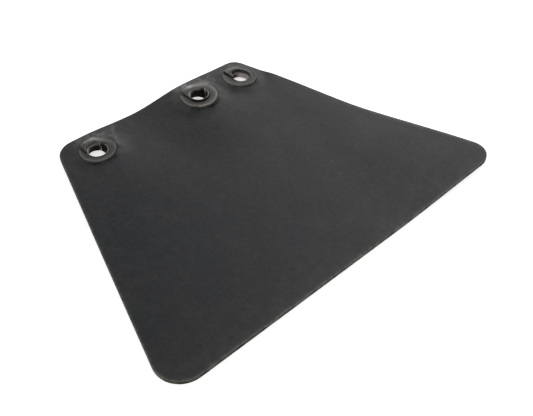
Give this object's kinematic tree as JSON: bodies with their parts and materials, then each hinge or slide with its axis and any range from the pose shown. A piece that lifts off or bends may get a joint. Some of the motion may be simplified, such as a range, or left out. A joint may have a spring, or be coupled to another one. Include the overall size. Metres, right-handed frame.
{
  "type": "mud flap",
  "caption": "Small trapezoid rubber mud flap that hangs by sleeved, ringed eyelets along its narrow top edge.",
  "frame": {"origin": "under the middle of the flap, on the surface that it lies on", "axes": "+X along the wide bottom edge, +Y from the bottom edge to the eyelets, +Z out of the outer face"},
  "size_m": [0.1928, 0.145, 0.0077],
  "materials": {
    "flap_rubber": "matte charcoal, lightly scuffed",
    "ring_steel": "dull dark grey, worn",
    "rear_ring_steel": "dull dark grey",
    "sleeve_steel": "bare rolled steel, browned inside"
  },
  "bodies": {
    "root": {"flap_sheet": "flap_rubber", "front_ring_left": "ring_steel", "front_ring_middle": "ring_steel", "front_ring_right": "ring_steel", "rear_ring_left": "rear_ring_steel", "rear_ring_middle": "rear_ring_steel", "rear_ring_right": "rear_ring_steel", "sleeve_left": "sleeve_steel", "sleeve_middle": "sleeve_steel", "sleeve_right": "sleeve_steel"}
  },
  "joints": []
}
